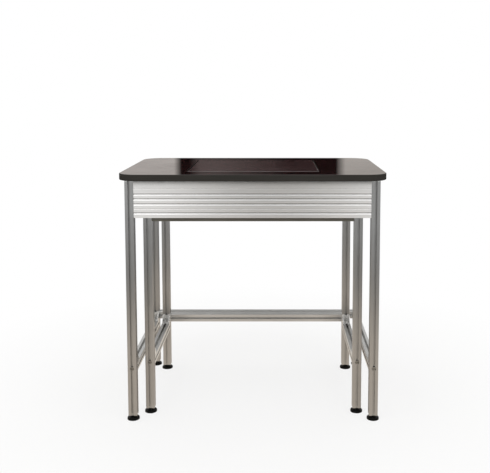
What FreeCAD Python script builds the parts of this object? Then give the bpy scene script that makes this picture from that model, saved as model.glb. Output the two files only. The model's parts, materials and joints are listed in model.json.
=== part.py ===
"""Weighing balance table, in millimetres.

A light worktop frame stands over a separate inner frame that carries a stone slab.  The slab lies
flush in a cut-out of the worktop and touches only the inner frame, so that a hand on the worktop
doesn't shake what is weighed on the slab.  Both frames are slotted 30 mm profile on screw feet.

+Z is up, the front faces -Y, and the origin is on the floor under the middle of the table.
"""
import FreeCAD, Part
import math
import os

V = FreeCAD.Vector
X_AXIS, Y_AXIS, Z_AXIS = V(1, 0, 0), V(0, 1, 0), V(0, 0, 1)
ORIGIN = V(0, 0, 0)

# ---- driving dimensions ----------------------------------------------------------------------
TABLE_HEIGHT = 845.0            # floor to the top of the worktop and the slab, feet screwed in

TOP_WIDTH = 900.0
TOP_DEPTH = 600.0
TOP_THICK = 22.0
TOP_CORNER_R = 70.0
TOP_EDGE_R = 2.5
TOP_OVERHANG_SIDE = 25.0        # worktop past the outer legs
TOP_OVERHANG_FRONT = 20.0
TOP_OVERHANG_BACK = 40.0

SLAB_WIDTH = 450.0
SLAB_DEPTH = 400.0
SLAB_THICK = 70.0
SLAB_CORNER_R = 3.0
SLAB_CHAMFER = 1.5
SLAB_GAP = 3.0                  # clear all round, slab to worktop

CELL = 30.0                     # side of the square slotted profile
PROFILE_CORNER_R = 2.0
SLOT_OPENING = 8.2
SLOT_LIP = 2.2
SLOT_INNER = 16.4               # width behind the lips
SLOT_WALL = 2.2                 # straight part of the slot's side, behind the lip
SLOT_FLOOR = 10.0
SLOT_DEPTH = 9.0
CORE_BORE_R = 4.1               # the profile's core bore, tapped M8 at its ends

FRAME_GAP_SIDE = 20.0           # clear gap, outer legs to inner legs
FRAME_GAP_FRONT = 30.0
FRAME_GAP_BACK = 10.0
SIDE_STRETCHER_HEIGHT = 180.0   # floor to the middle of the side stretchers
INNER_RAIL_CELLS = 2            # the inner frame's top rails are two cells tall
BEARER_INSET = 65.0             # slab's side to the middle of a bearer
ISOLATOR_INSET = 60.0           # slab's front or back to the middle of an isolator
WORKTOP_BRACKET_CLEAR = 13.0    # side of the worktop's cut-out to a bracket beside it
WORKTOP_HOLE_SPARE = 0.8        # tapped holes under the worktop, past the screws' ends

APRON_HEIGHT = 125.0
APRON_GROOVES = (18.0, 48.0, 65.0, 81.0)    # heights of the deep grooves in an apron's face
APRON_LINES = (30.0, 99.0)      # heights of the fine lines between them
GROOVE_FLOOR, GROOVE_DEPTH = 2.2, 2.8
GROOVE_FLANK = 5.5              # height of the slope below a groove, out to the face
LINE_FLOOR, LINE_DEPTH = 1.0, 0.8
LINE_FLANK = 1.8
APRON_FRONT_WALL = 6.0
APRON_BACK_WALL = 3.0
APRON_WEB = 3.0

ISOLATOR_R = 20.0
ISOLATOR_THICK = 9.0
ISOLATOR_STEM_R = 3.8
ISOLATOR_STEM_LENGTH = 7.0
ISOLATOR_WAIST = 1.5            # how far the pad's side is drawn in at mid height

LEG_END_HEIGHT = 16.0           # floor to the legs' ends, feet screwed in
PAD_R = 21.0
PAD_RIM_HEIGHT = 3.5            # straight part of the pad's rim
PAD_SHOULDER_R = 5.0
PAD_HUB_R = 10.0
PAD_HUB_TOP = 11.5
PAD_HUB_TAPER = 1.0             # hub's side, drawn in towards its top
PAD_SLOPE_RISE = 1.0            # pad's upper face, from the shoulder up to the hub
BALL_R = 5.0
BALL_HEIGHT = 6.6               # floor to the ball's middle
BALL_CLEARANCE = 0.3
SOCKET_MOUTH_R = 4.2
STUD_R = 4.0                    # M8
STUD_NECK_R = 3.0
STUD_HEX_FLATS = 13.0
STUD_HEX_BOTTOM = 12.2
STUD_HEX_TOP_GAP = 0.3          # hexagon to the leg's end
STUD_IN_LEG = 45.0
STUD_TIP_CHAMFER = 1.0

GUSSET_SIZE = 28.0              # length of each plate, and the width
GUSSET_PLATE = 4.0
GUSSET_WEB = 2.5
M6_R = 3.0
M6_HOLE_R = 3.3
M6_THREAD_GAP = 0.05            # radial, thread to nut or tapped hole
M6_LENGTH = 12.0
M6_HEAD_R, M6_HEAD_HEIGHT = 5.2, 3.3
M6_KEY_FLATS, M6_KEY_DEPTH = 4.0, 2.0
HEAD_CHAMFER = 0.8
NUT_LENGTH = 14.0
NUT_THICK = 5.0
NUT_SIDE_GAP = 0.4

END_SCREW_R = 4.0               # M8, through a leg into a stretcher's core bore
END_SCREW_HOLE_R = 4.2
END_SCREW_GRIP = 18.0           # thread inside the stretcher
END_HEAD_R, END_HEAD_HEIGHT = 6.5, 5.0
END_SINK_R, END_SINK_DEPTH = 7.2, 6.8
END_KEY_FLATS, END_KEY_DEPTH = 5.0, 2.8
ANCHOR_SHANK_R = 3.9
ANCHOR_GRIP = 22.0              # shank inside a rail's core bore

# ---- places worked out from them -------------------------------------------------------------
HALF = CELL / 2
OUTER_WIDTH = TOP_WIDTH - 2 * TOP_OVERHANG_SIDE
OUTER_FRONT = TOP_OVERHANG_FRONT - TOP_DEPTH / 2
OUTER_BACK = TOP_DEPTH / 2 - TOP_OVERHANG_BACK
INNER_WIDTH = OUTER_WIDTH - 2 * (CELL + FRAME_GAP_SIDE)
INNER_FRONT = OUTER_FRONT + CELL + FRAME_GAP_FRONT
INNER_BACK = OUTER_BACK - CELL - FRAME_GAP_BACK
OUTER_TOP = TABLE_HEIGHT - TOP_THICK
BEARER_TOP = TABLE_HEIGHT - SLAB_THICK - ISOLATOR_THICK
INNER_TOP = BEARER_TOP - CELL
APRON_BOTTOM = OUTER_TOP - APRON_HEIGHT
SIDE_STRETCHER_TOP = SIDE_STRETCHER_HEIGHT + HALF
BACK_STRETCHER_HEIGHT = SIDE_STRETCHER_HEIGHT + CELL
BEARER_X = SLAB_WIDTH / 2 - BEARER_INSET
ISOLATOR_Y = SLAB_DEPTH / 2 - ISOLATOR_INSET
WORKTOP_BRACKET_X = SLAB_WIDTH / 2 + SLAB_GAP + WORKTOP_BRACKET_CLEAR + GUSSET_SIZE / 2
M6_TAPPED_R = M6_R + M6_THREAD_GAP

SAME_PLACE = 1e-6               # two places closer than this are one
SIDES = (("left", -1), ("right", 1))
ENDS = (("front", -1), ("back", 1))


# ---- helpers ---------------------------------------------------------------------------------
def export(name, solids):
    """Write one node, a solid or a group of separate solids."""
    solids = solids if isinstance(solids, list) else [solids]
    shape = solids[0] if len(solids) == 1 else Part.makeCompound(solids)
    shape.exportStep(os.path.join("parts", name + ".step"))


def frame_at(origin, x_dir, z_dir):
    """Matrix that carries local X and Z onto two directions, and the local origin to a point."""
    y_dir = z_dir.cross(x_dir)
    return FreeCAD.Matrix(
        x_dir.x, y_dir.x, z_dir.x, origin.x,
        x_dir.y, y_dir.y, z_dir.y, origin.y,
        x_dir.z, y_dir.z, z_dir.z, origin.z)


def placed(shape, origin, x_dir, z_dir):
    return shape.transformed(frame_at(origin, x_dir, z_dir), True)


def prism(points, length, holes=()):
    """Extrude a closed outline, with round or square holes, along Z."""
    outline = Part.makePolygon(points + [points[0]])
    face = Part.makeFace([outline] + list(holes), "Part::FaceMakerBullseye")
    return face.extrude(Z_AXIS * length)


def ring(x, y, radius):
    return Part.Wire(Part.makeCircle(radius, V(x, y, 0)))


def window(x0, y0, x1, y1):
    return Part.makePolygon([V(x0, y0), V(x1, y0), V(x1, y1), V(x0, y1), V(x0, y0)])


def hexagon(flats, height):
    """Hexagonal prism about Z, standing on Z = 0."""
    corner = flats / math.sqrt(3)
    angles = [math.radians(60 * step) for step in range(6)]
    return prism([V(corner * math.cos(a), corner * math.sin(a)) for a in angles], height)


def plain(shape):
    """A boolean's result without the compound around it."""
    return shape.Solids[0] if len(shape.Solids) == 1 else shape


def block(x0, x1, y0, y1, z0, z1):
    return Part.makeBox(x1 - x0, y1 - y0, z1 - z0, V(x0, y0, z0))


def upright_edges(shape):
    """Straight edges along Z."""
    return [e for e in shape.Edges if abs(e.BoundBox.ZLength - e.Length) < SAME_PLACE]


def rim_edges(shape, height):
    """Edges that lie wholly in one level plane."""
    return [e for e in shape.Edges
            if abs(e.BoundBox.ZMin - height) < SAME_PLACE
            and abs(e.BoundBox.ZMax - height) < SAME_PLACE]


# ---- slotted profile -------------------------------------------------------------------------
def slot_notch():
    """One slot's outline, as (offset along the face, depth below it)."""
    mouth, inner, floor = SLOT_OPENING / 2, SLOT_INNER / 2, SLOT_FLOOR / 2
    half = [(mouth, 0), (mouth, SLOT_LIP), (inner, SLOT_LIP),
            (inner, SLOT_LIP + SLOT_WALL), (floor, SLOT_DEPTH)]
    return [(-offset, depth) for offset, depth in half] + half[::-1]


def slot_points(centre, along, inward):
    return [centre + along * offset + inward * depth for offset, depth in slot_notch()]


def profile(cells_x, cells_y, length):
    """Slotted profile along Z from Z = 0, centred on the axis, with one slot in each cell's face."""
    half_x, half_y = cells_x * HALF, cells_y * HALF
    faces = ((V(-half_x, -half_y), X_AXIS, Y_AXIS, cells_x),
             (V(half_x, -half_y), Y_AXIS, -X_AXIS, cells_y),
             (V(half_x, half_y), -X_AXIS, -Y_AXIS, cells_x),
             (V(-half_x, half_y), -Y_AXIS, X_AXIS, cells_y))
    points = []
    for corner, along, inward, cells in faces:
        points.append(corner)
        for cell in range(cells):
            points += slot_points(corner + along * (CELL * cell + HALF), along, inward)
    bores = [ring(CELL * i + HALF - half_x, CELL * j + HALF - half_y, CORE_BORE_R)
             for i in range(cells_x) for j in range(cells_y)]
    bar = prism(points, length, bores)
    corners = [e for e in upright_edges(bar)
               if abs(abs(e.CenterOfMass.x) - half_x) < SAME_PLACE
               and abs(abs(e.CenterOfMass.y) - half_y) < SAME_PLACE]
    return bar.makeFillet(PROFILE_CORNER_R, corners)


def bar_along_x(cells_tall, length, middle):
    """Profile that runs along X, with its middle at a given point."""
    bar = profile(1, cells_tall, length)
    return placed(bar, middle - X_AXIS * (length / 2), Y_AXIS, X_AXIS)


def bar_along_y(cells_tall, length, middle):
    bar = profile(1, cells_tall, length)
    return placed(bar, middle - Y_AXIS * (length / 2), -X_AXIS, Y_AXIS)


# ---- fasteners -------------------------------------------------------------------------------
def socket_screw(radius, length, head_r, head_height, key_flats, key_depth):
    """Screw down -Z with the underside of its head on Z = 0."""
    shank = Part.makeCylinder(radius, length, V(0, 0, -length))
    head = Part.makeCylinder(head_r, head_height)
    head = head.makeChamfer(HEAD_CHAMFER, rim_edges(head, head_height))
    key = hexagon(key_flats, key_depth)
    key.translate(V(0, 0, head_height - key_depth))
    return plain(head.fuse(shank).removeSplitter().cut(key))


def m6_screw():
    return socket_screw(M6_R, M6_LENGTH, M6_HEAD_R, M6_HEAD_HEIGHT, M6_KEY_FLATS, M6_KEY_DEPTH)


def end_screw():
    length = CELL - END_SINK_DEPTH + END_SCREW_GRIP
    return socket_screw(END_SCREW_R, length, END_HEAD_R, END_HEAD_HEIGHT,
                        END_KEY_FLATS, END_KEY_DEPTH)


def slot_nut_blank():
    """Nut body in a slot that runs along X under the face Z = 0, against the slot's lips."""
    wide = SLOT_INNER / 2 - NUT_SIDE_GAP
    narrow = SLOT_FLOOR / 2 + NUT_SIDE_GAP
    depths = (SLOT_LIP, SLOT_LIP + SLOT_WALL - NUT_SIDE_GAP, SLOT_LIP + NUT_THICK)
    half = [(wide, depths[0]), (wide, depths[1]), (narrow, depths[2])]
    section = half + [(-y, depth) for y, depth in half[::-1]]
    nut = prism([V(y, -depth) for y, depth in section], NUT_LENGTH)
    return placed(nut, V(-NUT_LENGTH / 2, 0, 0), Y_AXIS, X_AXIS)


def slot_nut():
    hole = Part.makeCylinder(M6_TAPPED_R, SLOT_DEPTH, V(0, 0, -SLOT_DEPTH))
    return plain(slot_nut_blank().cut(hole))


def rail_anchor():
    """Hammer-head anchor: its head in a leg's slot, its shank out along Z into a rail's bore."""
    shank = Part.makeCylinder(ANCHOR_SHANK_R, SLOT_LIP + ANCHOR_GRIP, V(0, 0, -SLOT_LIP))
    return plain(slot_nut_blank().fuse(shank).removeSplitter())


def gusset():
    """Corner bracket: one plate on Z = 0 towards +X, one on X = 0 towards +Z, two side webs."""
    half = GUSSET_SIZE / 2
    plate_a = block(0, GUSSET_SIZE, -half, half, 0, GUSSET_PLATE)
    plate_b = block(0, GUSSET_PLATE, -half, half, 0, GUSSET_SIZE)
    slope = [V(0, 0), V(GUSSET_SIZE, 0), V(GUSSET_SIZE, GUSSET_PLATE),
             V(GUSSET_PLATE, GUSSET_SIZE), V(0, GUSSET_SIZE)]
    web = prism(slope, GUSSET_WEB)
    webs = [placed(web, V(0, y, 0), X_AXIS, -Y_AXIS) for y in (GUSSET_WEB - half, half)]
    body = plate_a.fuse([plate_b] + webs).removeSplitter()
    drill_a = Part.makeCylinder(M6_HOLE_R, GUSSET_PLATE, V(HALF, 0, 0))
    drill_b = Part.makeCylinder(M6_HOLE_R, GUSSET_PLATE, V(0, 0, HALF), X_AXIS)
    return plain(body.cut([drill_a, drill_b]))


class Corner:
    """A gusset where two faces meet, with its screws, and a slot nut behind each slotted face.

    out_a and out_b are the outward normals of the faces under the two plates.
    """

    def __init__(self, origin, out_a, out_b, slot_b, nut_in_a=True):
        self.bracket = placed(gusset(), origin, out_b, out_a)
        screw = m6_screw()
        centre_a, centre_b = origin + out_b * HALF, origin + out_a * HALF
        self.centre_a = centre_a
        self.screws = [placed(screw, centre_a + out_a * GUSSET_PLATE, out_b, out_a),
                       placed(screw, centre_b + out_b * GUSSET_PLATE, out_a, out_b)]
        self.nuts = [placed(slot_nut(), centre_b, slot_b, out_b)]
        if nut_in_a:
            self.nuts.append(placed(slot_nut(), centre_a, out_b, out_a))


def export_corners(corners, bracket_node, screw_node):
    export(bracket_node, [c.bracket for c in corners])
    export(screw_node, [s for c in corners for s in c.screws])


# ---- the two frames --------------------------------------------------------------------------
class Frame:
    """Four legs with stretchers at the sides and the back; used for both frames."""

    def __init__(self, name, width, front, back, top):
        self.name = name
        self.width, self.depth, self.top = width, back - front, top
        self.middle_y = (front + back) / 2
        self.leg_x, self.leg_y = width / 2 - HALF, self.depth / 2 - HALF
        self.clear_x, self.clear_y = width - 2 * CELL, self.depth - 2 * CELL

    def at(self, x, y, z):
        """A point whose Y is measured from the frame's own middle."""
        return V(x, self.middle_y + y, z)

    def end_screw_places(self):
        """Head side's face centre and the outward normal, for each screw through a leg."""
        places = []
        for _, sx in SIDES:
            for _, sy in ENDS:
                face = self.at(sx * self.leg_x, sy * self.depth / 2, SIDE_STRETCHER_HEIGHT)
                places.append((face, Y_AXIS * sy))
            face = self.at(sx * self.width / 2, self.leg_y, BACK_STRETCHER_HEIGHT)
            places.append((face, X_AXIS * sx))
        return places

    def legs(self):
        passages = []
        for face, out in self.end_screw_places():
            passages.append(Part.makeCylinder(END_SINK_R, END_SINK_DEPTH, face, -out))
            passages.append(Part.makeCylinder(END_SCREW_HOLE_R, CELL, face, -out))
        for end, sy in ENDS:
            for side, sx in SIDES:
                leg = profile(1, 1, self.top - LEG_END_HEIGHT)
                leg.translate(self.at(sx * self.leg_x, sy * self.leg_y, LEG_END_HEIGHT))
                leg = leg.cut([p for p in passages if p.BoundBox.intersect(leg.BoundBox)])
                export(f"{self.name}_leg_{end}_{side}", plain(leg))

    def stretchers(self):
        for side, sx in SIDES:
            middle = self.at(sx * self.leg_x, 0, SIDE_STRETCHER_HEIGHT)
            export(f"{self.name}_stretcher_{side}", bar_along_y(1, self.clear_y, middle))
        middle = self.at(0, self.leg_y, BACK_STRETCHER_HEIGHT)
        export(f"{self.name}_stretcher_back", bar_along_x(1, self.clear_x, middle))
        screw = end_screw()
        screws = [placed(screw, face - out * END_SINK_DEPTH, Z_AXIS, out)
                  for face, out in self.end_screw_places()]
        export(f"{self.name}_stretcher_end_screws", screws)

    def stretcher_corners(self):
        """Gussets on top of the side stretchers, against the legs."""
        corners = []
        for _, sx in SIDES:
            for _, sy in ENDS:
                origin = self.at(sx * self.leg_x, sy * self.clear_y / 2, SIDE_STRETCHER_TOP)
                corners.append(Corner(origin, Z_AXIS, -Y_AXIS * sy, slot_b=Z_AXIS))
        export_corners(corners, f"{self.name}_stretcher_brackets",
                       f"{self.name}_stretcher_bracket_screws")
        return corners

    def rail_anchors(self, heights):
        """Hidden anchors between the legs and the four rails that meet them."""
        anchor = rail_anchor()
        anchors = []
        for height in heights:
            for _, sx in SIDES:
                for _, sy in ENDS:
                    beside = self.at(sx * self.clear_x / 2, sy * self.leg_y, height)
                    behind = self.at(sx * self.leg_x, sy * self.clear_y / 2, height)
                    anchors.append(placed(anchor, beside, Z_AXIS, -X_AXIS * sx))
                    anchors.append(placed(anchor, behind, Z_AXIS, -Y_AXIS * sy))
        export(f"{self.name}_rail_anchors", anchors)


# ---- aprons ----------------------------------------------------------------------------------
def groove_points(height, floor, depth, flank):
    """A groove in the face Y = 0, level above and sloping out below, as points in Y and Z."""
    low, high = height - floor / 2, height + floor / 2
    return [(0, low - flank), (depth, low), (depth, high), (0, high)]


def apron(length):
    """Grooved hollow rail along X, its face on Y = 0 towards -Y and its lower edge on Z = 0."""
    grooves = [(h, GROOVE_FLOOR, GROOVE_DEPTH, GROOVE_FLANK) for h in APRON_GROOVES]
    grooves += [(h, LINE_FLOOR, LINE_DEPTH, LINE_FLANK) for h in APRON_LINES]
    outline = [(0, 0)]
    for groove in sorted(grooves):
        outline += groove_points(*groove)
    outline += [(0, APRON_HEIGHT), (CELL, APRON_HEIGHT)]
    points = [V(y, z) for y, z in outline]
    for height in (APRON_HEIGHT - HALF, HALF):
        points += slot_points(V(CELL, height), -Y_AXIS, -X_AXIS)
    points.append(V(CELL, 0))

    chamber_y = (APRON_FRONT_WALL, CELL - APRON_BACK_WALL)
    middle = APRON_HEIGHT / 2
    holes = [window(chamber_y[0], CELL, chamber_y[1], middle - APRON_WEB / 2),
             window(chamber_y[0], middle + APRON_WEB / 2, chamber_y[1], APRON_HEIGHT - CELL)]
    holes += [ring(HALF, height, CORE_BORE_R) for height in (HALF, APRON_HEIGHT - HALF)]
    bar = prism(points, length, holes)
    return placed(bar, V(-length / 2, 0, 0), Y_AXIS, X_AXIS)


def make_aprons(frame):
    for end, sy in ENDS:
        bar = apron(frame.clear_x)
        bar = placed(bar, frame.at(0, sy * frame.depth / 2, APRON_BOTTOM), -X_AXIS * sy, Z_AXIS)
        export(f"apron_{end}", bar)
    for side, sx in SIDES:
        bar = apron(frame.clear_y)
        bar = placed(bar, frame.at(sx * frame.width / 2, 0, APRON_BOTTOM), Y_AXIS * sx, Z_AXIS)
        export(f"apron_{side}", bar)


# ---- worktop and slab ------------------------------------------------------------------------
def worktop_corners(frame):
    """Gussets between the aprons' inner faces and the underside of the worktop."""
    corners = []
    for _, sy in ENDS:
        for _, sx in SIDES:
            origin = frame.at(sx * WORKTOP_BRACKET_X, sy * frame.clear_y / 2, OUTER_TOP)
            corners.append(Corner(origin, -Z_AXIS, -Y_AXIS * sy, slot_b=X_AXIS, nut_in_a=False))
    for _, sx in SIDES:
        origin = frame.at(sx * frame.clear_x / 2, 0, OUTER_TOP)
        corners.append(Corner(origin, -Z_AXIS, -X_AXIS * sx, slot_b=Y_AXIS, nut_in_a=False))
    export_corners(corners, "worktop_brackets", "worktop_bracket_screws")
    return corners


def rounded_plate(width, depth, thick, corner_r, bottom):
    plate = block(-width / 2, width / 2, -depth / 2, depth / 2, bottom, bottom + thick)
    return plate.makeFillet(corner_r, upright_edges(plate))


def worktop(corners):
    top = rounded_plate(TOP_WIDTH, TOP_DEPTH, TOP_THICK, TOP_CORNER_R, OUTER_TOP)
    rims = rim_edges(top, OUTER_TOP) + rim_edges(top, TABLE_HEIGHT)
    top = top.makeFillet(TOP_EDGE_R, rims)
    cutout = rounded_plate(SLAB_WIDTH + 2 * SLAB_GAP, SLAB_DEPTH + 2 * SLAB_GAP, TOP_THICK,
                           SLAB_CORNER_R + SLAB_GAP, OUTER_TOP)
    depth = M6_LENGTH - GUSSET_PLATE + WORKTOP_HOLE_SPARE
    holes = [Part.makeCylinder(M6_TAPPED_R, depth, corner.centre_a) for corner in corners]
    export("worktop", plain(top.cut([cutout] + holes)))


def slab():
    stone = rounded_plate(SLAB_WIDTH, SLAB_DEPTH, SLAB_THICK, SLAB_CORNER_R,
                          TABLE_HEIGHT - SLAB_THICK)
    export("slab", stone.makeChamfer(SLAB_CHAMFER, rim_edges(stone, TABLE_HEIGHT)))


# ---- slab supports on the inner frame --------------------------------------------------------
def slab_bearers(frame):
    """Two bars across the inner rails, held by gussets on their inner sides."""
    for side, sx in SIDES:
        middle = frame.at(sx * BEARER_X, 0, BEARER_TOP - HALF)
        export(f"slab_bearer_{side}", bar_along_y(1, frame.depth, middle))
    corners = []
    for _, sx in SIDES:
        for _, sy in ENDS:
            origin = frame.at(sx * (BEARER_X - HALF), sy * frame.leg_y, frame.top)
            corners.append(Corner(origin, Z_AXIS, -X_AXIS * sx, slot_b=Y_AXIS))
    export_corners(corners, "bearer_brackets", "bearer_bracket_screws")
    return corners


def isolator():
    """Waisted rubber pad standing on Z = 0, with a stem below it."""
    waist = V(ISOLATOR_R - ISOLATOR_WAIST, 0, ISOLATOR_THICK / 2)
    side = Part.Arc(V(ISOLATOR_R, 0, 0), waist, V(ISOLATOR_R, 0, ISOLATOR_THICK)).toShape()
    corners = [V(ISOLATOR_R, 0, ISOLATOR_THICK), V(0, 0, ISOLATOR_THICK), ORIGIN,
               V(ISOLATOR_R, 0, 0)]
    outline = Part.Wire([side] + Part.makePolygon(corners).Edges)
    pad = Part.Face(outline).revolve(ORIGIN, Z_AXIS, 360)
    stem = Part.makeCylinder(ISOLATOR_STEM_R, ISOLATOR_STEM_LENGTH, V(0, 0, -ISOLATOR_STEM_LENGTH))
    return plain(pad.fuse(stem).removeSplitter())


def isolators():
    pads = []
    for _, sx in SIDES:
        for _, sy in ENDS:
            pad = isolator()
            pad.translate(V(sx * BEARER_X, sy * ISOLATOR_Y, BEARER_TOP))
            pads.append(pad)
    export("slab_isolators", pads)


# ---- screw feet ------------------------------------------------------------------------------
def arc_about(centre_z, radius, start_r, end_angle):
    """Arc in the XZ plane about (0, centre_z), from the upper radius start_r down to an angle."""
    start = math.acos(start_r / radius)
    angles = (start, (start + end_angle) / 2, end_angle)
    points = [V(radius * math.cos(a), 0, centre_z + radius * math.sin(a)) for a in angles]
    return Part.Arc(*points).toShape(), points[0], points[-1]


def revolved(edges):
    return Part.Face(Part.Wire(edges)).revolve(ORIGIN, Z_AXIS, 360)


def foot_pad():
    """Moulded foot with a ball socket in its hub."""
    socket, mouth, pole = arc_about(BALL_HEIGHT, BALL_R + BALL_CLEARANCE, SOCKET_MOUTH_R,
                                    -math.pi / 2)
    inner_r = PAD_R - PAD_SHOULDER_R
    middle = PAD_SHOULDER_R * math.sqrt(0.5)
    rim, shoulder_top = V(PAD_R, 0, PAD_RIM_HEIGHT), V(inner_r, 0, PAD_RIM_HEIGHT + PAD_SHOULDER_R)
    shoulder = Part.Arc(rim, V(inner_r + middle, 0, PAD_RIM_HEIGHT + middle), shoulder_top)
    base = Part.makePolygon([pole, ORIGIN, V(PAD_R, 0, 0), rim])
    hub = Part.makePolygon([shoulder_top, V(PAD_HUB_R, 0, shoulder_top.z + PAD_SLOPE_RISE),
                            V(PAD_HUB_R - PAD_HUB_TAPER, 0, PAD_HUB_TOP),
                            V(SOCKET_MOUTH_R, 0, PAD_HUB_TOP), mouth])
    return revolved([socket] + base.Edges + [shoulder.toShape()] + hub.Edges)


def foot_stud():
    """M8 stud: ball end, neck, hexagon for the wrench and the threaded shank."""
    ball, neck, pole = arc_about(BALL_HEIGHT, BALL_R, STUD_NECK_R, -math.pi / 2)
    hex_top = LEG_END_HEIGHT - STUD_HEX_TOP_GAP
    tip = LEG_END_HEIGHT + STUD_IN_LEG
    shank = Part.makePolygon([neck, V(STUD_NECK_R, 0, STUD_HEX_BOTTOM),
                              V(STUD_R, 0, STUD_HEX_BOTTOM),
                              V(STUD_R, 0, tip - STUD_TIP_CHAMFER),
                              V(STUD_R - STUD_TIP_CHAMFER, 0, tip), V(0, 0, tip), pole])
    flats = hexagon(STUD_HEX_FLATS, hex_top - STUD_HEX_BOTTOM)
    flats.translate(V(0, 0, STUD_HEX_BOTTOM))
    return plain(revolved([ball] + shank.Edges).fuse(flats).removeSplitter())


def feet(frame):
    for end, sy in ENDS:
        for side, sx in SIDES:
            place = frame.at(sx * frame.leg_x, sy * frame.leg_y, 0)
            for piece, make in (("pad", foot_pad), ("stud", foot_stud)):
                foot = make()
                foot.translate(place)
                export(f"{frame.name}_foot_{piece}_{end}_{side}", foot)


# ---- the whole table -------------------------------------------------------------------------
def slot_nuts(name, corners):
    export(name, [n for c in corners for n in c.nuts])


def build_outer_table():
    frame = Frame("outer", OUTER_WIDTH, OUTER_FRONT, OUTER_BACK, OUTER_TOP)
    frame.legs()
    frame.stretchers()
    stretcher_corners = frame.stretcher_corners()
    make_aprons(frame)
    frame.rail_anchors((APRON_BOTTOM + HALF, OUTER_TOP - HALF))
    top_corners = worktop_corners(frame)
    worktop(top_corners)
    slot_nuts("outer_slot_nuts", stretcher_corners + top_corners)
    feet(frame)


def build_inner_frame():
    frame = Frame("inner", INNER_WIDTH, INNER_FRONT, INNER_BACK, INNER_TOP)
    frame.legs()
    frame.stretchers()
    stretcher_corners = frame.stretcher_corners()
    rail_height = INNER_TOP - INNER_RAIL_CELLS * HALF
    for end, sy in ENDS:
        middle = frame.at(0, sy * frame.leg_y, rail_height)
        export(f"inner_rail_{end}", bar_along_x(INNER_RAIL_CELLS, frame.clear_x, middle))
    for side, sx in SIDES:
        middle = frame.at(sx * frame.leg_x, 0, rail_height)
        export(f"inner_rail_{side}", bar_along_y(INNER_RAIL_CELLS, frame.clear_y, middle))
    frame.rail_anchors([INNER_TOP - HALF - CELL * cell for cell in range(INNER_RAIL_CELLS)])
    bearer_corners = slab_bearers(frame)
    isolators()
    slot_nuts("inner_slot_nuts", stretcher_corners + bearer_corners)
    feet(frame)


os.makedirs("parts", exist_ok=True)
build_outer_table()
build_inner_frame()
slab()
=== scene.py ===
"""Looks of a weighing balance table: a dark worktop on an aluminium frame, which stands clear round
an inner frame with its own feet that carries a stone slab."""

import json
import math

import bmesh
import bpy
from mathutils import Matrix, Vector


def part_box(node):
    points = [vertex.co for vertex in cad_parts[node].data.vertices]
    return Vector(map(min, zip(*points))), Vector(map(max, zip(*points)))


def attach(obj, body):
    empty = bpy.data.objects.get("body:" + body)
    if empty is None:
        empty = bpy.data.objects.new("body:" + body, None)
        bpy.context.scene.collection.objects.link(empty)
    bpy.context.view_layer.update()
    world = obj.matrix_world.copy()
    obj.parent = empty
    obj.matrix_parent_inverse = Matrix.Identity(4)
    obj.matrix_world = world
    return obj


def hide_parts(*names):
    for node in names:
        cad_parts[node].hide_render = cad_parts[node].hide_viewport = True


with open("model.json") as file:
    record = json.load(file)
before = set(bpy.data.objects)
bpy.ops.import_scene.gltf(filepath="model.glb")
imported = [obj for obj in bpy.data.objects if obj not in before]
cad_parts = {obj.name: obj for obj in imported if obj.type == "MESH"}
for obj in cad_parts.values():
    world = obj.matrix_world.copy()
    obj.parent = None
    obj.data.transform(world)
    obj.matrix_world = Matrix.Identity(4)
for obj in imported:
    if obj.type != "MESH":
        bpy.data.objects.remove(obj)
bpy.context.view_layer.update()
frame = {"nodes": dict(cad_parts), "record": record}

MM = 0.001

# ---- camera ----------------------------------------------------------------------------------
PICTURE_WIDTH = 490
SENSOR_WIDTH_MM = 36.0
FOCAL_PIXELS = 743.4
CAMERA_PLACE = Vector((0.0696, -2.7224, 1.1247))
CAMERA_PITCH = math.radians(5.3)
CAMERA_SHIFT = (-0.0581, -0.16)

# ---- light -----------------------------------------------------------------------------------
SKY_COLOUR = (0.97, 0.985, 1.0, 1.0)
SKY_FILL = 0.72                     # how bright the sky is to surfaces that scatter light
FLOOR_RADIUS = 9.0
FLOOR_COLOUR = (0.94, 0.92, 0.89, 1.0)
FLOOR_WHITE_NEAR = 0.80             # share of plain white seen in the floor at the table's feet
WHITE_FROM, WHITE_TO = 0.6, 1.45    # metres from the middle over which that share grows to 1
WHITE = (1.0, 1.0, 1.0, 1.0)
FLOOR_MIRRORED_NEAR = (1.0, 0.90, 0.79, 1.0)        # what shiny surfaces see of the floor
FLOOR_MIRRORED_MIDDLE = (0.43, 0.43, 0.425, 1.0)
FLOOR_MIRRORED_FAR = (0.95, 0.98, 1.0, 1.0)
MIRRORED_NEAR_TO_MIDDLE = (1.2, 2.2)                # metres from the middle over which it changes
MIRRORED_MIDDLE_TO_FAR = (2.8, 4.0)
FLAG_DARK = (0.004, 0.003, 0.003, 1.0)
FLAG_DIM = (0.105, 0.088, 0.084, 1.0)
FLAG_PALE_LEFT = (0.69, 0.645, 0.61, 1.0)
FLAG_PALE_RIGHT = (0.62, 0.58, 0.54, 1.0)
BACK_FLAG_CENTRE = Vector((0, 0.85, 1.0))
BACK_FLAG_HALF = 2.0
BACK_FLAG_RISE = 0.22
FLAG_LEFT_EDGE = (-0.411, -0.376)   # where the card behind the table turns from pale to dark
FLAG_RIGHT_EDGE = (0.372, 0.418)
FLAG_DIM_FROM = (-0.335, -0.285)    # where its dark part turns dim, and where it is dark again
FLAG_DIM_TO = (-0.200, 0.150)
FLAG_FADE = (1.06, 1.22)            # heights between which it fades into the white round it
FRONT_FLAG_CENTRE = Vector((0.08, -3.0, 1.25))
FRONT_FLAG_HALF = 0.80
FRONT_FLAG_CORE = 0.15              # half the width over which it is fully dark
FRONT_FLAG_RISE = 0.95
LAMP_TARGET = (0, 0, 0.5)
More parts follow.
